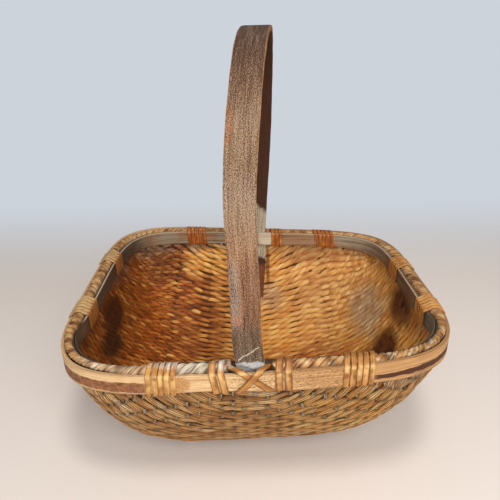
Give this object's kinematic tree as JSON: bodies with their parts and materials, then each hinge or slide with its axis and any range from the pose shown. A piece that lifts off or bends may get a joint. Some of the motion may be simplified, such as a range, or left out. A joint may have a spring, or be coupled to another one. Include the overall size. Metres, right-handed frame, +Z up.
{
  "type": "gathering basket",
  "caption": "Boat-shaped woven willow bowl between bentwood rim hoops, with a rod plait on the rim, flat cane lashings and a tall bentwood strap handle",
  "frame": {"origin": "centre of the basket's footprint box, on the ground it stands on", "axes": "+X along the basket's long side to the right, +Y to the back across the basket and in line with the handle's hoop, +Z up"},
  "size_m": [0.4632, 0.4064, 0.514],
  "materials": {
    "willow_rods": "varnished willow rods, worn",
    "split_hoop_wood": "pale split wood with a strip of bark",
    "grey_hoop_wood": "weathered grey bentwood",
    "plait_rods": "bleached willow rods",
    "handle_wood": "worn reddish lacquer on bentwood",
    "cane": "glossy golden cane"
  },
  "bodies": {
    "root": {"woven_body": "willow_rods", "outer_hoop": "split_hoop_wood", "inner_hoop": "grey_hoop_wood", "inner_hoop_liner": "grey_hoop_wood", "rim_plait_left": "plait_rods", "rim_plait_right": "plait_rods", "handle": "handle_wood", "front_left_lashing": "cane", "front_right_lashing": "cane", "back_left_lashing": "cane", "back_right_lashing": "cane", "left_front_lashing": "cane", "left_back_lashing": "cane", "right_front_lashing": "cane", "right_back_lashing": "cane", "front_foot_lashing_left": "cane", "front_foot_lashing_right": "cane", "back_foot_lashing_left": "cane", "back_foot_lashing_right": "cane", "front_cross_under": "cane", "front_cross_over": "cane", "back_cross_under": "cane", "back_cross_over": "cane"}
  },
  "joints": []
}
